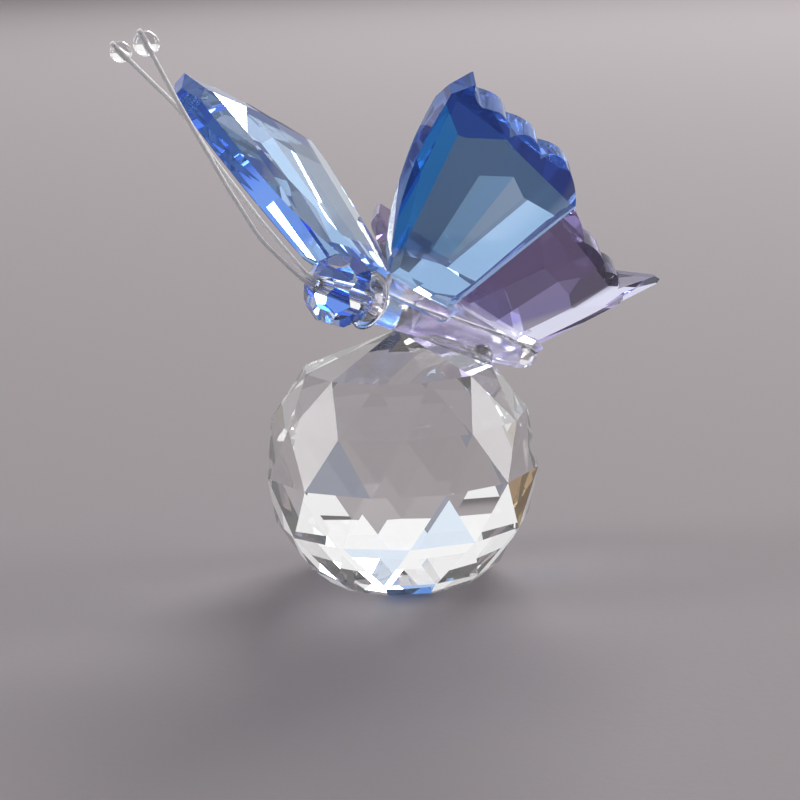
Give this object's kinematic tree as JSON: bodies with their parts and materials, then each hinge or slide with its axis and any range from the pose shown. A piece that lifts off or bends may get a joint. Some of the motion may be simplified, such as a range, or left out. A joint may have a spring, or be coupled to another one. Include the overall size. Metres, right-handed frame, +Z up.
{
  "type": "butterfly ornament",
  "caption": "Cut-glass butterfly with spread facet-cut wings and beaded antennae, glued nose up on a faceted glass ball with a flat foot.",
  "frame": {"origin": "centre of the ball's flat foot, on the surface it stands on", "axes": "+Z up, square to the foot; +Y away from the viewer of the picture and +X to the viewer's right; the butterfly's head points to -X and -Y and its tail to +X and +Y"},
  "size_m": [0.0742, 0.0658, 0.0811],
  "materials": {
    "clear_crystal": "cut and polished",
    "blue_crystal": "cut and polished",
    "lilac_crystal": "cut and polished",
    "nylon": "smooth clear filament",
    "clear_glue": "cured clear glue"
  },
  "bodies": {
    "root": {"ball_base": "clear_crystal", "body": "clear_crystal", "neck_collar": "clear_crystal", "head_bead": "clear_crystal", "forewing_left": "blue_crystal", "forewing_right": "blue_crystal", "hindwing_left": "lilac_crystal", "hindwing_right": "lilac_crystal", "antenna_left": "nylon", "antenna_right": "nylon", "antenna_tip_left": "clear_crystal", "antenna_tip_right": "clear_crystal", "wing_glue_left": "clear_glue", "wing_glue_right": "clear_glue", "ball_glue": "clear_glue"}
  },
  "joints": []
}
